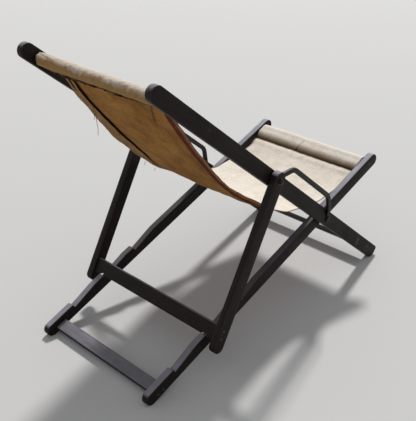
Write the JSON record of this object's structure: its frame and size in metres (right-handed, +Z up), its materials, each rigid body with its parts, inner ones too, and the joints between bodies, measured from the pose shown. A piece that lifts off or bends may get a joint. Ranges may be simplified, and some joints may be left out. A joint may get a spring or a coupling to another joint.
{
  "type": "deck chair",
  "caption": "Folding deck chair of dark painted wooden rails with bent iron arms and a canvas sling; the crossbar of the prop rests in notches of the seat rails.",
  "frame": {"origin": "on the floor, below the middle of the chair's length and width, in the open position that the picture shows", "axes": "+Z up; the sitter faces -Y, so the head end is towards +Y; +X is the sitter's left"},
  "size_m": [0.6002, 1.068, 0.9109],
  "materials": {
    "painted_wood": "semi-gloss dark paint, worn at the edges",
    "black_iron": "satin",
    "dark_steel": "plain steel, gone dark",
    "screw_steel": "dull, darkened",
    "canvas": "coarse unbleached canvas, matt"
  },
  "bodies": {
    "back_frame": {"back_rail_right": "painted_wood", "back_rail_left": "painted_wood", "head_dowel": "painted_wood", "front_foot_slat": "painted_wood", "front_slat_screws": "screw_steel", "arm_right": "black_iron", "arm_left": "black_iron", "seat_pivot_bolts": "black_iron", "seat_pivot_spacers": "dark_steel", "seat_pivot_washers": "dark_steel", "seat_pivot_nuts": "dark_steel", "prop_pivot_bolts": "dark_steel", "prop_pivot_washers": "dark_steel", "prop_pivot_nuts": "dark_steel", "sling": "canvas"},
    "seat_frame": {"seat_rail_right": "painted_wood", "seat_rail_left": "painted_wood", "front_dowel": "painted_wood", "front_dowel_screws": "screw_steel", "rear_foot_slat": "painted_wood", "rear_slat_screws": "screw_steel"},
    "prop_frame": {"prop_strut_right": "painted_wood", "prop_strut_left": "painted_wood", "prop_crossbar": "painted_wood", "crossbar_screws": "screw_steel"}
  },
  "joints": [
    {"name": "seat_fold", "type": "hinge", "parent": "back_frame", "child": "seat_frame", "pos_m": [0, -0.23452, 0.27237], "axis": [1, 0, 0], "range_deg": [0, 55.7], "deforming": ["sling"]},
    {"name": "prop_swing", "type": "hinge", "parent": "back_frame", "child": "prop_frame", "pos_m": [0, 0.03255, 0.51822], "axis": [1, 0, 0], "range_deg": [0, 96.2]}
  ],
  "couplings": [
    {"joint": "prop_swing", "follows": "seat_fold", "ratio": 1.725}
  ]
}
